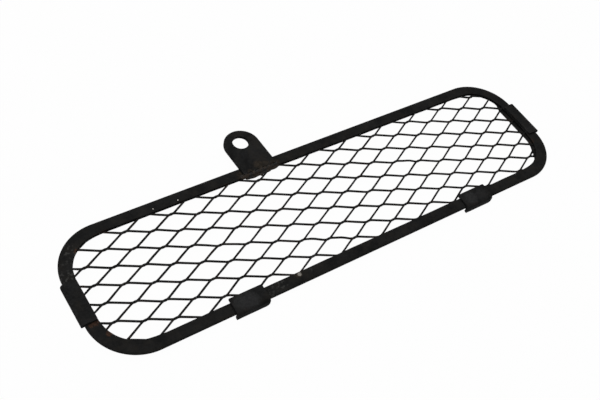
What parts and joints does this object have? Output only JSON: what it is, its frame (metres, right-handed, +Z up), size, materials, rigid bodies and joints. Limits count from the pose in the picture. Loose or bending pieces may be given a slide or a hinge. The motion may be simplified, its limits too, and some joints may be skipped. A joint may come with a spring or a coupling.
{
  "type": "oil cooler guard",
  "caption": "Stone guard for a small oil cooler: expanded metal in a flat folded steel ring, with a bolt tab and hook lugs.",
  "frame": {"origin": "centre of the tab's bolt hole, on the tab's underside, which is level with the ring's top face", "axes": "+X along the guard, +Y from the ring out to the tab, +Z up through the bolt hole"},
  "size_m": [0.2179, 0.0742, 0.0045],
  "materials": {
    "ring_paint": "satin black paint, worn",
    "mesh_paint": "satin black paint, dull",
    "tab_paint": "satin black paint, worn",
    "weld_rust": "rusty weld under thin black paint",
    "lug_paint": "satin black paint, worn"
  },
  "bodies": {
    "root": {"channel_frame": "ring_paint", "expanded_mesh": "mesh_paint", "mounting_tab": "tab_paint", "tab_weld": "weld_rust", "front_lug_left": "lug_paint", "front_lug_right": "lug_paint", "end_lug_left": "lug_paint", "end_lug_right": "lug_paint"}
  },
  "joints": []
}
